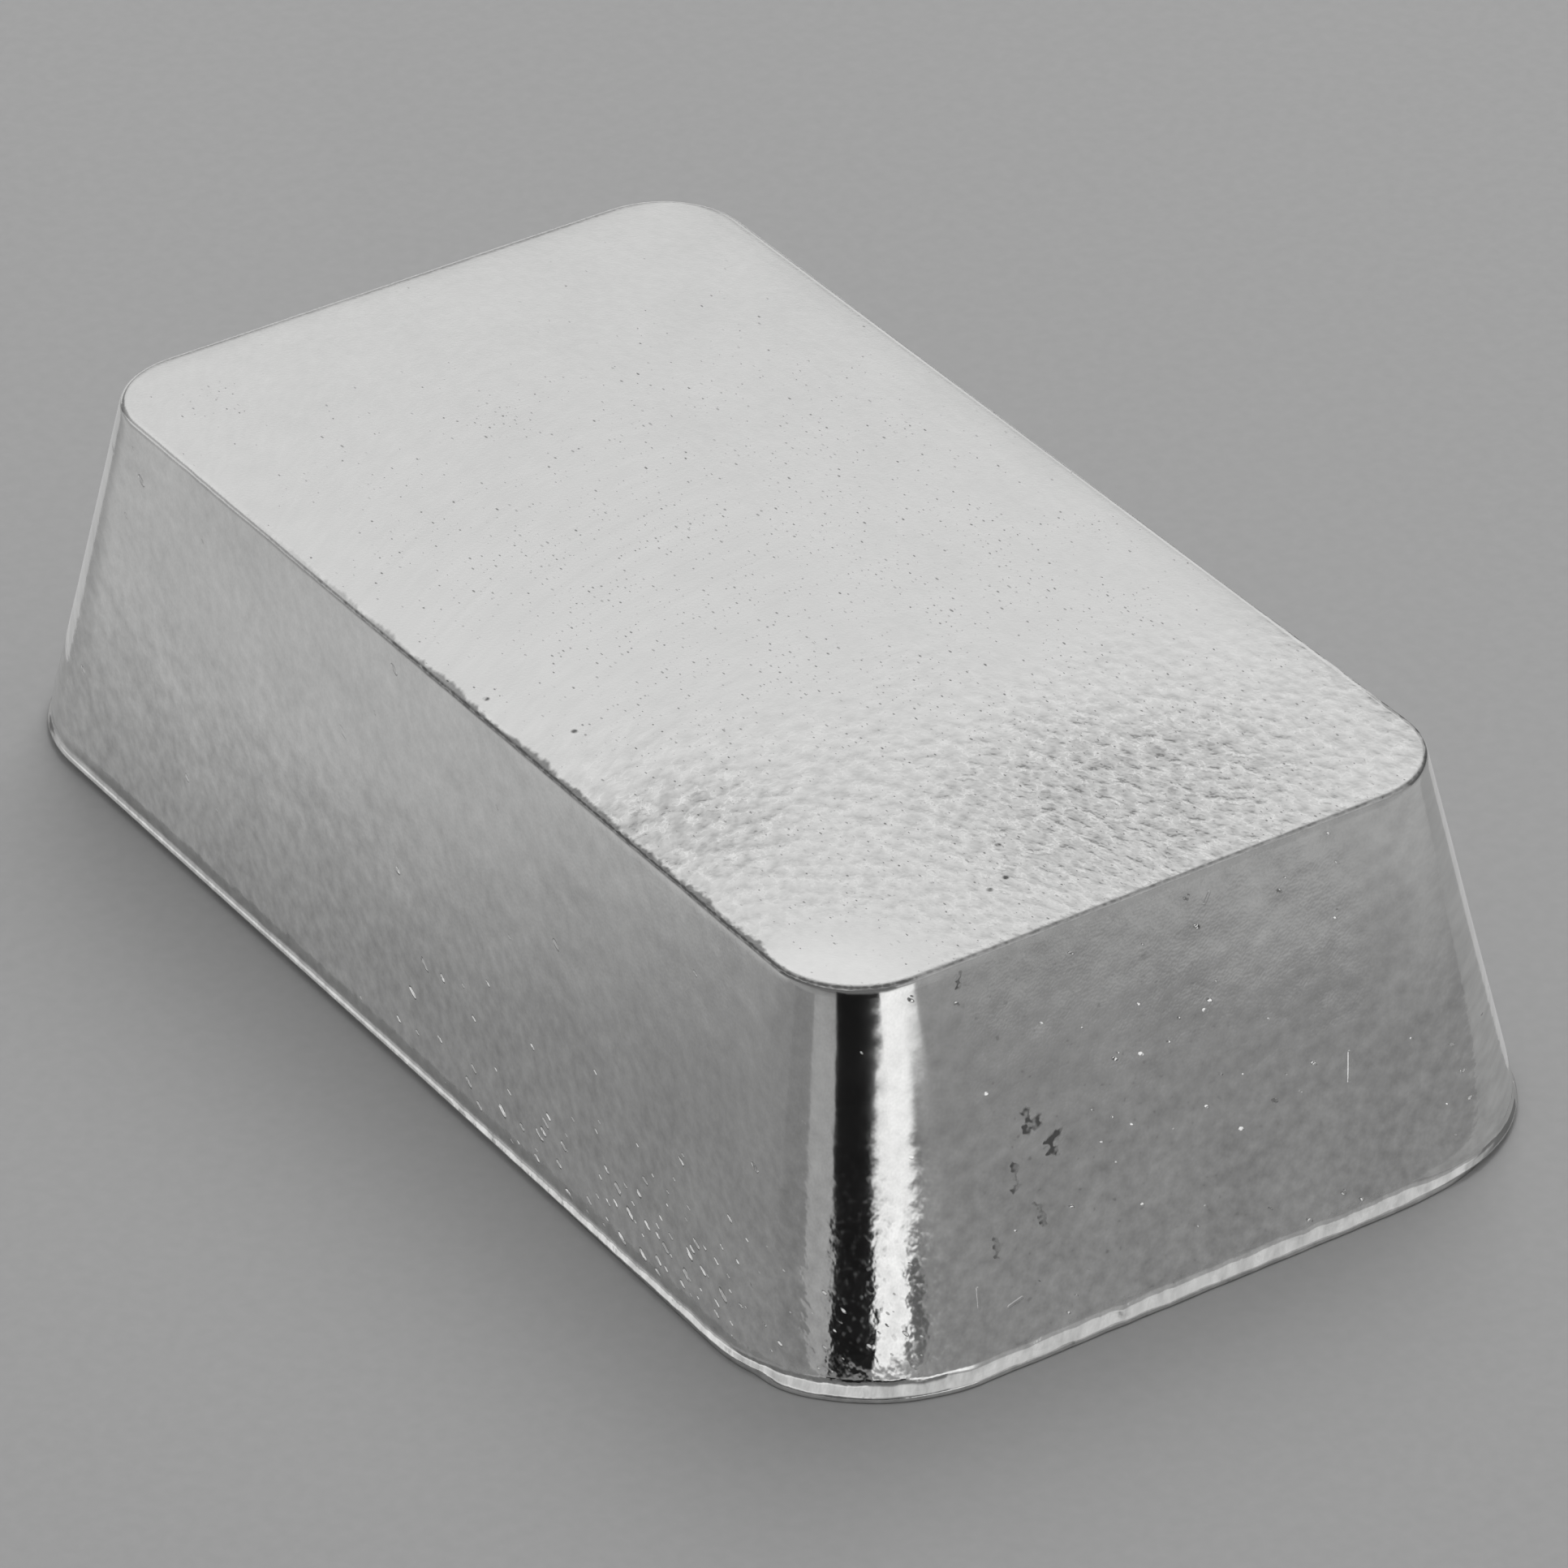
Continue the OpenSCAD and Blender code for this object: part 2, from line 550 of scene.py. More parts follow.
# %% Finish the drafted bar
def keep(geometry, title, value, data_type):
    """Stores a value on the mesh under a name, for the trees and materials that come later."""
    feeds = {"Geometry": geometry, "Name": title, "Value": value}
    options = {"data_type": data_type, "domain": "POINT"}
    made = add_node(value.tree, "GeometryNodeStoreNamedAttribute", feeds, **options)
    return made.outputs["Geometry"]


def facing_parts(tree):
    """The three parts of the direction in which the surface faces."""
    return split(Field(tree, add_node(tree, "GeometryNodeInputNormal").outputs[0]))


feeds = {"Geometry": block.outputs["Mesh"], "Selection": facing_parts(tree)[2].do("LESS_THAN", -0.5)}
open_block = add_node(tree, "GeometryNodeDeleteGeometry", feeds, domain="FACE")
named = keep(open_block.outputs["Geometry"], "lip_stand", lip_stand, "FLOAT")
named = keep(named, "outwards", join(tree, out_x, out_y, 0.0), "FLOAT_VECTOR")
named = keep(named, "edge_share", in_edge * (1 - in_edge) * 4, "FLOAT")
feeds = {"Geometry": named, "Position": join(tree, bar_x, bar_y, row_up)}
bent = add_node(tree, "GeometryNodeSetPosition", feeds)
add_node(tree, "NodeGroupOutput", {"Geometry": in_silver(tree, bent.outputs["Geometry"])})
print("nodes of the drafted bar:", len(tree.nodes))

# %% [markdown]
# ## Casting relief
# Silver that sets against a mould keeps the mould's unevenness. The crown's near third is crinkled where
# the metal flowed and froze, the long side has slanting ripples, the corners are pebbled towards the
# foot, and the lip of the pour is fat at one end and fades out along the sides. A sculptor would press
# these in by hand. Noise that is stretched, turned and limited to its place does the same and can be
# tuned, and moving real points keeps the relief in the mesh itself.

# %% Inputs of the casting relief
RELIEF_SIZES = {
    "Crinkle height": 0.055,
    "Crown waver": 0.03,
    "Ripple height": 0.03,
    "Mottle height": 0.018,
    "Pebble height": 0.006,
    "Wall waver": 0.05,
    "Far edge drop": 0.12,
    "Seed": 7.0,
}
tree, size = new_tree("casting_relief", RELIEF_SIZES)
place = Field(tree, add_node(tree, "GeometryNodeInputPosition").outputs[0])
x, y, z = split(place)
facing_x, facing_y, facing_z = facing_parts(tree)
on_crown = ramp(facing_z, 0.75, 0.98)
on_wall = 1 - on_crown


def stored(tree, title, data_type):
    """A value that an earlier tree stored on the mesh."""
    made = add_node(tree, "GeometryNodeInputNamedAttribute", {"Name": title}, data_type=data_type)
    return Field(tree, made.outputs["Attribute"])


print("inputs of the casting relief:", len(RELIEF_SIZES))

# %% [markdown]
# ### Crown
# The crinkle is noise that is longer than it is wide and turns with the frozen flow. It starts along a
# ragged line, is strongest round two hearts, and leaves the near corner smooth. It only goes down, so the
# bar doesn't grow.

# %% Flow on the crown
FLOW_CENTRE = (28.0, 3.0)
FLOW_ANGLE = radians(8)
FLOW_SWING = radians(1.7)
FLOW_LENGTH = 1.3
FLOW_WIDTH = 0.8


def crown_flow(y):
    """Direction of the frozen flow, which swings round towards one side for every millimetre."""
    return (FLOW_CENTRE[1] - y).do("MAXIMUM", 0) * FLOW_SWING + FLOW_ANGLE


def turned(first, second, angle):
    """Two coordinates turned by an angle that may change from place to place."""
    if isinstance(angle, Field):
        c, s = angle.do("COSINE"), angle.do("SINE")
    else:
        c, s = cos(angle), sin(angle)
    return first * c + second * s, second * c - first * s


flow_along, flow_across = turned(x - FLOW_CENTRE[0], y - FLOW_CENTRE[1], crown_flow(y))
flow_at = join(tree, flow_along / FLOW_LENGTH, flow_across / FLOW_WIDTH, size["Seed"])
flow = uneven(flow_at, 1.0, 11.0, detail=1.5)
print("crown: flow")

# %% Crown relief
CRINKLE_START = 9
CRINKLE_FULL = 27
CRINKLE_SLANT = 0.3
CRINKLE_WANDER = 4
SMOOTH_CORNER = (38, -19, height_mm)
HEARTS = [((31, 4, height_mm), 15, 3), ((19, -18, height_mm), 9, 2)]
LEAST_CRINKLE = 0.46
CRINKLE_TOP = 1.2
SWELL_TOP = 1.4

wander = uneven(place, 5.0, size["Seed"]) * CRINKLE_WANDER
crinkled = ramp(x - y * CRINKLE_SLANT + wander, CRINKLE_START, CRINKLE_FULL)
crinkled = crinkled * (1 - ramp(from_point(place, SMOOTH_CORNER), 9, 4))
first_heart, second_heart = [ramp(from_point(place, middle), edge, core) for middle, edge, core in HEARTS]
crinkled = crinkled * (first_heart.do("MAXIMUM", second_heart) * (1 - LEAST_CRINKLE) + LEAST_CRINKLE)
crinkle = (flow - CRINKLE_TOP).do("MINIMUM", 0) * size["Crinkle height"] * crinkled
crown_swell = (uneven(place, 22.0, size["Seed"] + 1) - SWELL_TOP).do("MINIMUM", 0) * size["Crown waver"]
far_side = ramp(y, width_mm / 2 - 9, width_mm / 2 - 4)
far_edge = far_side.do("MAXIMUM", ramp(x, 9 - length_mm / 2, 5 - length_mm / 2))
crown_height = crinkle + crown_swell - far_edge * far_edge * size["Far edge drop"]
print("crown: crinkle, swell and soft far edges")

# %% [markdown]
# ### Walls and lip
# The walls get slanting ripples on the long side, mottling, pebbles low down and a slow swell. Beside the
# corners the skin stays nearly smooth, because there the smallest tilt would bend the edges of the strips
# that it reflects. The lip keeps a share of its full reach, and where that share is small the bottom edge
# of the wall rounds under instead.

# %% Wall relief
RIPPLE_LENGTH = 3.5
RIPPLE_WIDTH = 1.4
RIPPLE_RUN = 0.89
RIPPLE_RISE = 0.45
RIPPLE_CHANGE = 0.2
LOW_START = 14
LOW_FULL = 1
CALM_MOTTLE = 0.9
LONG_PEBBLES = 0.5
HIGH_PEBBLES = 0.3


def wall_places(x, y, facing_x, facing_y):
    """Where the near long side is, where the near end is, and how near a point is to a corner."""
    on_long = ramp(facing_x.do("ABSOLUTE"), 0.3, 0.04) * facing_y.do("LESS_THAN", -0.5)
    on_end = ramp(facing_y.do("ABSOLUTE"), 0.3, 0.04) * facing_x.do("GREATER_THAN", 0.5)
    near_corner = ramp(x.do("ABSOLUTE"), 31, 35) * ramp(y.do("ABSOLUTE"), 11, 15)
    return on_long, on_end, near_corner


on_long, on_end, near_corner = wall_places(x, y, facing_x, facing_y)
at_corner = 1 - on_long.do("MAXIMUM", on_end)
ripple_along = (x * RIPPLE_RUN - z * RIPPLE_RISE) / RIPPLE_LENGTH
ripple_across = (x * RIPPLE_RISE + z * RIPPLE_RUN) / RIPPLE_WIDTH
ripple_at = join(tree, ripple_along, ripple_across, y * RIPPLE_CHANGE)
ripple = uneven(ripple_at, 1.0, size["Seed"] + 2, detail=1.5) * on_long * size["Ripple height"]
mottle = uneven(place, 1.3, size["Seed"] + 3) * size["Mottle height"] * (1 - near_corner * CALM_MOTTLE)
low_down = ramp(z, LOW_START, LOW_FULL)
pebble = uneven(place, 1.2, size["Seed"] + 4, detail=0.0) * (at_corner + on_long * low_down * LONG_PEBBLES)
pebble = pebble * (low_down * (1 - HIGH_PEBBLES) + HIGH_PEBBLES) * size["Pebble height"]
wall_swell = uneven(place, 15.0, size["Seed"] + 5) * size["Wall waver"]
wall_height = ripple + mottle + pebble + wall_swell
print("walls: ripples, mottling, pebbles and swell")

# %% Lip of the pour
LIP_LUMP = 2.2
LIP_LUMP_SHARE = 0.05
LIP_MEAN_SHARE = 0.93
LIP_LEAST_SHARE = 0.05
LONG_LIP = 0.42
LONG_LIP_LEAST = 0.06
LIP_FOLD = 1.2
FOLD_RISE = 0.18
FOOT_ROUND = 0.55
FOOT_ROUND_RISE = 1.8

end_lip = on_end.do("MAXIMUM", ramp(x, 36, 42)) * ramp(y, 22, 12)
long_lip = (ramp(x, 0, 40) * LONG_LIP + LONG_LIP_LEAST) * ramp(y, 0, -20)
lump = uneven(place, LIP_LUMP, size["Seed"] + 6) * LIP_LUMP_SHARE + LIP_MEAN_SHARE
lip_share = (end_lip.do("MAXIMUM", long_lip) * lump).do("MAXIMUM", LIP_LEAST_SHARE).do("MINIMUM", 1)
lip_back = stored(tree, "lip_stand", "FLOAT") * (1 - lip_share)
fold_shift = uneven(place, LIP_FOLD, size["Seed"] + 8) * FOLD_RISE * lip_share
fold_shift = fold_shift * ramp(z, 0.25, 0.7) * ramp(z, 1.4, 0.8)
foot_round = ramp(z, FOOT_ROUND_RISE, -FOOT_ROUND_RISE) * (1 - lip_share) * FOOT_ROUND * 2
wall_height = wall_height * ramp(z, 0.4, 1.6) - lip_back - foot_round
print("lip: full at one end, thin along the sides")

# %% Move the points
EDGE_LINE_LEAST = 0.3
EDGE_LINE_END = 0.8

out_x, out_y = split(stored(tree, "outwards", "FLOAT_VECTOR"))[:2]
shift_up = crown_height * on_crown + fold_shift
shift = join(tree, out_x * wall_height * on_wall, out_y * wall_height * on_wall, shift_up)
# Masks of the near crown edges, which the silver darkens as a painted dark reflection.
long_edge = ramp(y, -12, -17) * (ramp(x, -40, 5) * (1 - EDGE_LINE_LEAST) + EDGE_LINE_LEAST)
near_edge = long_edge.do("MAXIMUM", ramp(x, 28, 33) * EDGE_LINE_END) * stored(tree, "edge_share", "FLOAT")
masked = keep(size["Geometry"], "crinkled", crinkled * on_crown, "FLOAT")
masked = keep(masked, "near_edge", near_edge, "FLOAT")
feeds = {"Geometry": masked, "Offset": shift}
moved = add_node(tree, "GeometryNodeSetPosition", feeds).outputs["Geometry"]
print("points moved")

# %% Close the foot
WELD_DISTANCE = 0.002

faces_at_edge = Field(tree, add_node(tree, "GeometryNodeInputMeshEdgeNeighbors").outputs["Face Count"])
feeds = {"Mesh": moved, "Selection": faces_at_edge.do("LESS_THAN", 1.5)}
rim = add_node(tree, "GeometryNodeMeshToCurve", feeds)
sole = add_node(tree, "GeometryNodeFillCurve", {"Curve": rim.outputs["Curve"]}, mode="NGONS")
sole = add_node(tree, "GeometryNodeFlipFaces", {"Mesh": sole.outputs["Mesh"]})
whole = add_node(tree, "GeometryNodeJoinGeometry", {"Geometry": sole.outputs["Mesh"]})
tree.links.new(moved, whole.inputs["Geometry"])
feeds = {"Geometry": whole.outputs["Geometry"], "Distance": WELD_DISTANCE}
welded = add_node(tree, "GeometryNodeMergeByDistance", feeds)
feeds = {"Geometry": welded.outputs["Geometry"], "Scale": (MM, MM, MM)}
in_metres = add_node(tree, "GeometryNodeTransform", feeds)
above_sole = facing_parts(tree)[2].do("GREATER_THAN", -0.9)
feeds = {"Geometry": in_metres.outputs["Geometry"], "Shade Smooth": above_sole}
smooth = add_node(tree, "GeometryNodeSetShadeSmooth", feeds)
add_node(tree, "NodeGroupOutput", {"Geometry": in_silver(tree, smooth.outputs["Geometry"])})
print("nodes of the casting relief:", len(tree.nodes))

# %% [markdown]
# ## Silver
# Raw silver is white and bright, but a casting is satin and not a mirror: its skin has fine grain, gas
# pinholes and small scars. One metal shader does the reflections. Noise on the bar's own coordinates
# makes the grain as bump, the pinholes as dips of painted shade, and the uneven gloss, all far finer than
# the mesh.

# %% Silver: where things are
tree = silver_tree
coordinates = add_node(tree, "ShaderNodeTexCoord").outputs
place = calculate_vector(tree, "SCALE", "Vector", {0: coordinates["Object"], "Scale": 1 / MM})
x, y, z = split(place)
facing_x, facing_y, facing_z = split(Field(tree, coordinates["Normal"]))
on_crown = facing_z.do("GREATER_THAN", 0.7) * z.do("GREATER_THAN", height_mm / 2)
on_wall = 1 - on_crown
on_long, on_end, near_corner = wall_places(x, y, facing_x, facing_y)
near_corner = near_corner * on_wall
off_corner = 1 - near_corner
at_corner = on_wall * (1 - on_long) * (1 - on_end)
low_down = ramp(z, 19, 4)
low_corner = at_corner * low_down


def painted(title):
    """A mask that the casting relief left on the mesh."""
    made = add_node(tree, "ShaderNodeAttribute", attribute_name=title)
    return Field(tree, made.outputs["Fac"])


crinkled = painted("crinkled")
near_edge = painted("near_edge")
print("silver: masks ready")

# %% [markdown]
# ### Grain
# Two coordinates run over the whole skin: across the crown, or round the walls and up. Both turn with the
# flow, so one lumpy pattern serves everywhere. Noise over two coordinates is much quicker than over
# three, and the bump needs it three times at every point.

# %% Silver: grain that follows the flow
WALL_FLOW = radians(-30)
END_FLOW = radians(11)
LUMP_SIZE = (1.0, 0.75)
FOLD_SIZE = (0.55, 0.42)
GRAIN_SIZE = 0.16
PATCH_SIZE = (5.0, 4.0)
STREAK_SIZE = (2.2, 0.8)

skin_u = either(x - FLOW_CENTRE[0], x + y, on_crown)
skin_v = either(y - FLOW_CENTRE[1], z, on_crown)
flow_along, flow_across = turned(skin_u, skin_v, either(crown_flow(y), WALL_FLOW, on_crown))
lumps = flat_uneven(flow_along / LUMP_SIZE[0], flow_across / LUMP_SIZE[1], 0.0)
folds = flat_uneven(flow_along / FOLD_SIZE[0], flow_across / FOLD_SIZE[1], 1.0)
grain = flat_uneven(skin_u / GRAIN_SIZE, skin_v / GRAIN_SIZE, 0.0)
patches = flat_uneven(skin_u / PATCH_SIZE[0], skin_v / PATCH_SIZE[1], 2.0)
end_along, end_across = turned(y, z, END_FLOW)
end_streaks = flat_uneven(end_along / STREAK_SIZE[0], end_across / STREAK_SIZE[1], 0.0) * on_end
print("silver: lumps, folds, grain, patches and streaks")

# %% [markdown]
# ### Pinholes and glints
# One spot sits in each cell of a random pattern, and each place on the bar keeps its own share of the
# spots. On the crown they are pinholes, darkened with painted shade. On the walls they are small facets
# that tilt up, or sideways on the end, and so catch other light.

# %% Silver: spots
CROWN_CELL = (0.75, 0.42)
WALL_CELL = (1.6, 0.6)
CELL_WANDER = 0.1
LEAST_SPOT = 0.08
SPOT_SPREAD = 0.14
LONG_SPOT = 0.03
LONG_SPOT_SPREAD = 0.08
CORNER_SPOT = -0.02
SPOT_CORE = 0.7
SOFT_PINHOLE = 0.3

cell_length = either(WALL_CELL[0], CROWN_CELL[0], on_wall)
cell_width = either(WALL_CELL[1], CROWN_CELL[1], on_wall)
cell_along = either(skin_u, flow_along, on_crown) + folds * CELL_WANDER
cell_across = either(skin_v, flow_across, on_crown)
feeds = {"Vector": join(tree, cell_along / cell_length, cell_across / cell_width, 0.0), "Scale": 1.0}
cells = add_node(tree, "ShaderNodeTexVoronoi", feeds, voronoi_dimensions="2D").outputs
chance, girth, depth = split(Field(tree, cells["Color"]))
spot_size = girth * girth * (on_long * LONG_SPOT_SPREAD + SPOT_SPREAD) + LEAST_SPOT
spot_size = spot_size + on_long * LONG_SPOT + at_corner * CORNER_SPOT
spots = ramp(Field(tree, cells["Distance"]) / spot_size, 1.0, SPOT_CORE - on_crown * SOFT_PINHOLE)
print("silver: spots")

# %% Silver: pinholes
SMUDGES = [(-33.8, -16.2), (-22.0, -3.3), (7.2, 18.0), (16.1, 15.4)]
SMUDGE_RADIUS = 3.0
SMUDGE_SHARE = 0.5
LEAST_PINHOLES = 0.03
PINHOLE_DEPTH = 0.1
PINHOLE_SPREAD = 0.65
SPOT_FADE = 0.03
SOFT_CORE = 0.4


def crown_marks(points, radius):
    """A soft mask round each of these points of the crown."""
    mask = 0.0
    for point in points:
        mask = ramp(from_point(place, (*point, height_mm)), radius, SOFT_CORE * radius) + mask
    return mask


worn = ramp(x, -34, -4) * ramp(y.do("ABSOLUTE"), 24, 10) * (patches * 0.5 + 0.5) * on_crown
crown_share = worn + crown_marks(SMUDGES, SMUDGE_RADIUS) * SMUDGE_SHARE + LEAST_PINHOLES
pinholes = spots * ramp(crown_share - chance, 0.0, SPOT_FADE) * on_crown
pinholes = pinholes * (depth * PINHOLE_SPREAD + PINHOLE_DEPTH)
print("silver: pinholes and smudges")

# %% Silver: glints
LONG_GLINTS = 0.75
CORNER_GLINTS = 0.4
END_GLINTS = 0.06
LEAST_GLINTS = 0.02
UP_TILT = -0.35
UP_TILT_SPREAD = -0.6
SIDE_TILT = 0.36
SIDE_TILT_SPREAD = 0.2

long_share = on_long * ramp(x, -8, 34) * ramp(z, 11, 1) * LONG_GLINTS
corner_share = at_corner * ramp(z, 10, 2) * CORNER_GLINTS
wall_share = long_share + corner_share + on_end * off_corner * END_GLINTS + LEAST_GLINTS
glints = spots * ramp(wall_share - chance, 0.0, SPOT_FADE) * on_wall * ramp(z, 1.0, 1.6)
middle_along, middle_across = split(Field(tree, cells["Position"]))[:2]
from_along = cell_along - middle_along * cell_length
from_across = cell_across - middle_across * cell_width
from_side, from_below = turned(from_along, from_across, -WALL_FLOW)
tilt_up = (depth * UP_TILT_SPREAD + UP_TILT) * from_below
tilt_side = (depth * SIDE_TILT_SPREAD + SIDE_TILT) * from_side
tilt = either(tilt_side, tilt_up, on_end)
print("silver: glints")

# %% [markdown]
# ### Pores, scars and scratches
# The few marks that stand out are placed one by one: round pores in the crown, and strokes on the near
# end. A stroke is the stretch between two points, each given by how far across and how far up it is. The
# scars are bent a little by the folds so that they look torn.


# %% Silver: strokes
def stroke(at, ends, width):
    """A soft mask along a straight stroke."""
    start = Vector((0, *ends[:2]))
    run = Vector((0, *ends[2:])) - start
    away = calculate_vector(tree, "SUBTRACT", "Vector", {0: at, 1: start})
    share = calculate_vector(tree, "DOT_PRODUCT", "Value", {0: away, 1: run / run.length_squared})
    share = share.do("MAXIMUM", 0).do("MINIMUM", 1)
    nearest = calculate_vector(tree, "SCALE", "Vector", {0: run, "Scale": share})
    return ramp(from_point(away, nearest), width, SOFT_CORE * width)


def all_strokes(at, strokes, width):
    """One mask of several strokes."""
    mask = 0.0
    for ends in strokes:
        mask = stroke(at, ends, width) + mask
    return mask


print("strokes ready")

# %% Silver: pores, scars and scratches
PORES = [(33.9, -1.9), (31.8, -4.8), (35.2, -7.7), (34.7, -6.3), (3.1, -20.2), (8.8, -17.9)]
PORE_RADIUS = 0.28
SCARS = [
    (-10.4, 13.9, -10.5, 12.6),
    (-10.4, 13.1, -9.7, 12.9),
    (-8.6, 11.9, -9.2, 11.6),
    (-9.2, 11.6, -9.0, 11.0),
]
SCAR_WIDTH = 0.36
STREAKS = [
    (-11.6, 11.0, -11.9, 9.6),
    (-10.7, 8.5, -10.3, 7.2),
    (-13.6, 7.3, -13.7, 6.3),
    (-13.1, 22.5, -13.3, 21.7),
]
STREAK_WIDTH = 0.2
SCRATCHES = [
    (10.92, 9.85, 10.6, 8.2),
    (3.4, 21.7, 3.0, 21.2),
    (-15.2, 5.1, -15.3, 4.0),
    (-13.4, 3.4, -12.5, 3.6),
]
SCRATCH_WIDTH = 0.12
TEAR_ACROSS = 0.28
TEAR_UP = 0.2
SCAR_DEPTH = 1.2
STREAK_DEPTH = 0.8

torn_place = join(tree, 0.0, y + folds * TEAR_ACROSS, z + lumps * TEAR_UP)
pores = crown_marks(PORES, PORE_RADIUS) * (folds * 0.6 + 0.6)
scars = all_strokes(torn_place, SCARS, SCAR_WIDTH) * SCAR_DEPTH
scars = scars + all_strokes(torn_place, STREAKS, STREAK_WIDTH) * STREAK_DEPTH
scars = scars * (folds * 0.7 + 0.75) * on_end
# Pores, pinholes and scars make the dips, which the colour darkens as painted shade.
dips = pores.do("MAXIMUM", pinholes).do("MAXIMUM", scars).do("MINIMUM", 1)
scratches = all_strokes(join(tree, 0.0, y, z), SCRATCHES, SCRATCH_WIDTH) * on_end
print("silver: pores, scars and scratches")

# %% [markdown]
# ### Bump, colour and gloss
# The bump adds the unevenness that is too fine for the mesh, strongest in the crinkle and low on the
# corners. The colour stays close to plain silver. Painted shade makes it a little darker in the crinkle and
# the dips, a painted dark reflection darkens the near crown edge, and painted highlights lighten the
# crinkle's ridges and the crown's near corner. The gloss varies in patches, and the corners have dull
# pebbles low down.

# %% Silver: bump
CRINKLE_LUMP = 0.026
CRINKLE_FOLD = 0.011
LOW_WALL_LUMP = 0.003
WALL_LUMP = 0.001
LOW_CORNER_LUMP = 0.0035
CORNER_LUMP = 0.0008
LOW_CORNER_FOLD = 0.003
WALL_FOLD = 0.001
GRAIN_HEIGHT = 0.001
SCRATCH_HEIGHT = 0.022
CALM_LUMPS = 0.8
CALM_FOLDS = 0.7

lump_height = crinkled * CRINKLE_LUMP + at_corner * (low_down * low_down * LOW_CORNER_LUMP + CORNER_LUMP)
lump_height = lump_height + on_wall * (low_down * LOW_WALL_LUMP + WALL_LUMP) * (1 - near_corner * CALM_LUMPS)
fold_height = crinkled * CRINKLE_FOLD + low_corner * low_down * LOW_CORNER_FOLD
fold_height = fold_height + (1 - near_corner * CALM_FOLDS) * WALL_FOLD
height = lumps * lump_height + folds * fold_height + grain * off_corner * GRAIN_HEIGHT
height = height + glints * tilt + scratches * SCRATCH_HEIGHT
bump = add_node(tree, "ShaderNodeBump", {"Height": height, "Distance": MM})
plug(tree, bump.outputs["Normal"], silver_shader.inputs["Normal"])
print("silver: bump")

# %% Silver: uneven tone and painted light
CRINKLE_SHADE = 0.15
HIGHLIGHT_CENTRE = (38.5, -20.5, height_mm)
CORNER_HIGHLIGHT = 0.1
PATCH_TONE = 0.03
LOW_WALL_MOTTLE = 0.045
WALL_MOTTLE = 0.025
CRINKLE_MOTTLE = 0.07
LEAST_MOTTLE = 0.012
STREAK_TONE = 0.05
GRAIN_TONE = 0.025
RIDGE_SHEEN = 0.18
HOLLOW_SHADE = 0.05
FLECK_SHADE = 0.22

mottling = on_wall * (low_down * LOW_WALL_MOTTLE + WALL_MOTTLE) + crinkled * CRINKLE_MOTTLE + LEAST_MOTTLE
tone_and_painted_light = patches * (on_wall * PATCH_TONE + PATCH_TONE) + (lumps + folds) * mottling
tone_and_painted_light = tone_and_painted_light + end_streaks * STREAK_TONE + grain * on_wall * GRAIN_TONE
# In the crinkle, painted highlights lighten the ridges and painted shade darkens the hollows.
ridges = ramp(folds.do("ABSOLUTE"), 0.22, 0.03) * ramp(lumps, -0.3, 0.5)
hollows = ramp(lumps + folds * 0.6, -0.5, -1.2)
tone_and_painted_light = tone_and_painted_light + (ridges * RIDGE_SHEEN - hollows * HOLLOW_SHADE) * crinkled
# The whole crinkle is darkened with painted shade.
tone_and_painted_light = tone_and_painted_light - crinkled * (crinkled * 0.6 + 0.4) * CRINKLE_SHADE
end_flecks = ramp(folds, -0.75, -1.15) * on_end * off_corner * ramp(y, 12, -8)
# The crown is painted lighter round its near corner: a painted highlight.
crown_corner_highlight = ramp(from_point(place, HIGHLIGHT_CENTRE), 6.5, 2.5) * on_crown
tone_and_painted_light = tone_and_painted_light - end_flecks * FLECK_SHADE + crown_corner_highlight * CORNER_HIGHLIGHT
print("silver: uneven tone")

# %% Silver: colour and gloss
SILVER_TONE = 0.8
SILVER_WARMTH = 0.99
DIP_SHADE = 0.8
EDGE_SHADE = 0.82
RAGGED_EDGE_SHADE = 0.8
WALL_ROUGHNESS = 0.13
CROWN_ROUGHNESS = 0.05
CORNER_ROUGHNESS = -0.03
DIP_ROUGHNESS = 0.3
PATCH_ROUGHNESS = 0.02
DULL_PEBBLES = 0.13
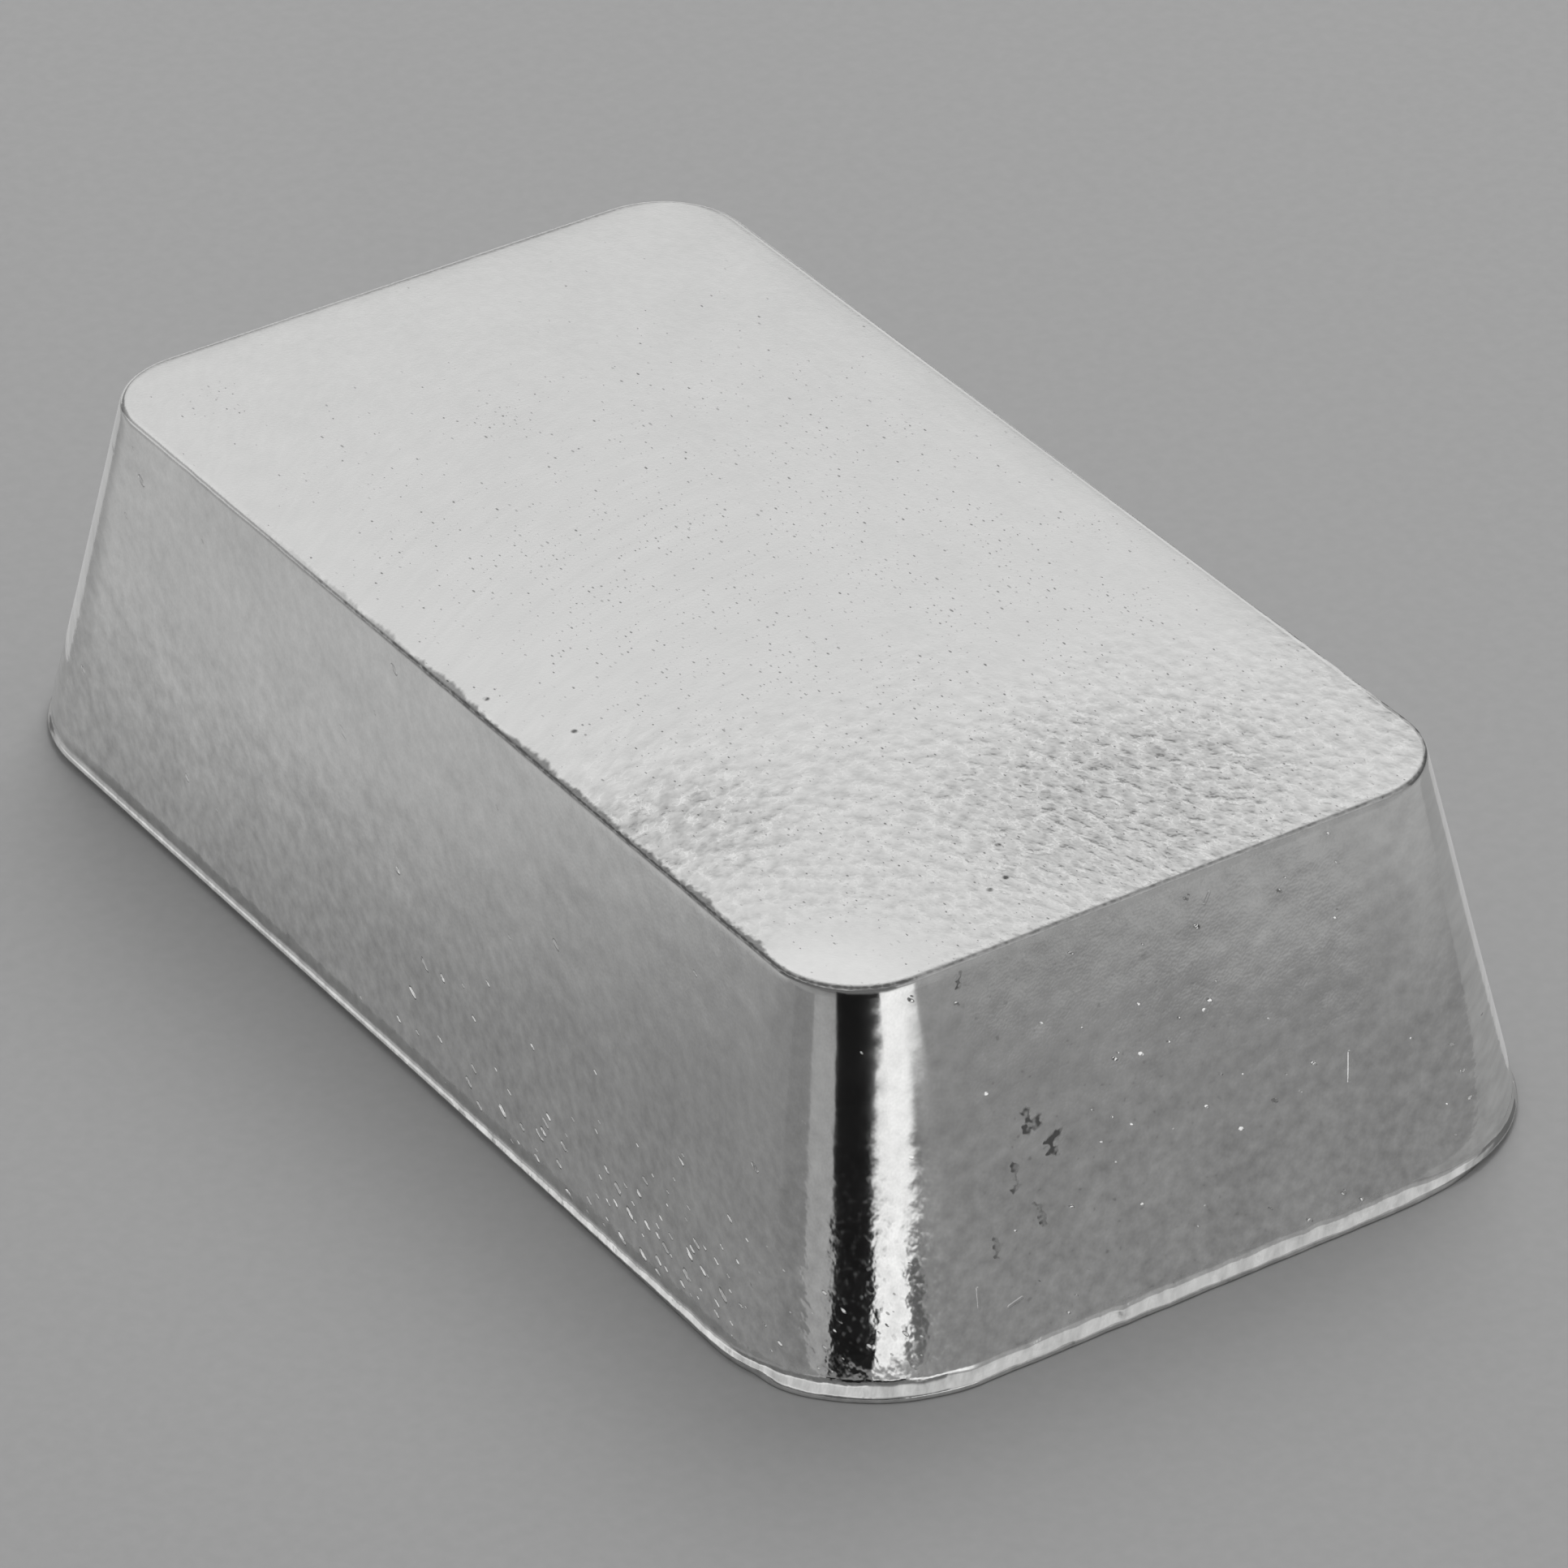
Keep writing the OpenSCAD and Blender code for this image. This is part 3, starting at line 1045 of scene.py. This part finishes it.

# A painted dark reflection darkens the near crown edges and a ragged line along the near long one.
ragged_edge_shade = ramp(y + folds * 0.15 + patches * 0.35, -20.9, -21.25) * ramp(x, -30, 8) * on_crown * RAGGED_EDGE_SHADE
edge_line = (near_edge * near_edge * (folds * 0.4 + 1.15)).do("MAXIMUM", ragged_edge_shade).do("MINIMUM", 1)
tone = (tone_and_painted_light + 1) * SILVER_TONE * (1 - dips * DIP_SHADE) * (1 - edge_line * EDGE_SHADE)
plug(tree, join(tree, tone, tone, tone * SILVER_WARMTH), silver_shader.inputs["Base Color"])
silver_shader.inputs["Metallic"].default_value = 1.0
roughness = patches * PATCH_ROUGHNESS + WALL_ROUGHNESS + on_crown * CROWN_ROUGHNESS
roughness = roughness + at_corner * CORNER_ROUGHNESS + dips * DIP_ROUGHNESS
roughness = roughness + low_corner * ramp(folds, 0.1, 0.9) * DULL_PEBBLES
plug(tree, roughness, silver_shader.inputs["Roughness"])
print("nodes of the silver:", len(tree.nodes))

# %% [markdown]
# ## From trees to one plain mesh
# The two trees run one after the other on an empty object. Their result is copied into a plain mesh,
# because other programs know nothing of trees. A block that starts inside a tree brings an empty material
# slot along, and that is taken away. The bar then takes the place of the plain solid in the frame.


# %% Run the trees
def run_tree(piece, title, values):
    """Adds a tree to a piece as a modifier and sets its inputs."""
    modifier = piece.modifiers.new(title, "NODES")
    modifier.node_group = bpy.data.node_groups[title]
    for item in modifier.node_group.interface.items_tree:
        if item.in_out == "INPUT" and item.name in values:
            modifier[item.identifier] = values[item.name]


blank = bpy.data.objects.new("blank", bpy.data.meshes.new("blank"))
bpy.context.scene.collection.objects.link(blank)
run_tree(blank, "drafted_bar", BAR_SIZES)
run_tree(blank, "casting_relief", RELIEF_SIZES)
settled = blank.evaluated_get(bpy.context.evaluated_depsgraph_get())
bar_mesh = bpy.data.meshes.new_from_object(settled)
bpy.data.objects.remove(blank)
for slot in reversed(range(len(bar_mesh.materials))):
    if bar_mesh.materials[slot] is None:
        bar_mesh.materials.pop(index=slot)
bar = bpy.data.objects.new("cast_bar", bar_mesh)
bpy.context.scene.collection.objects.link(bar)
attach(bar, "root")
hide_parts("silver_bar")
triangles = sum(len(face.vertices) - 2 for face in bar_mesh.polygons)
print(f"cast bar: {len(bar_mesh.vertices)} points, {triangles} triangles")
print("materials of the cast bar:", len(bar_mesh.materials))
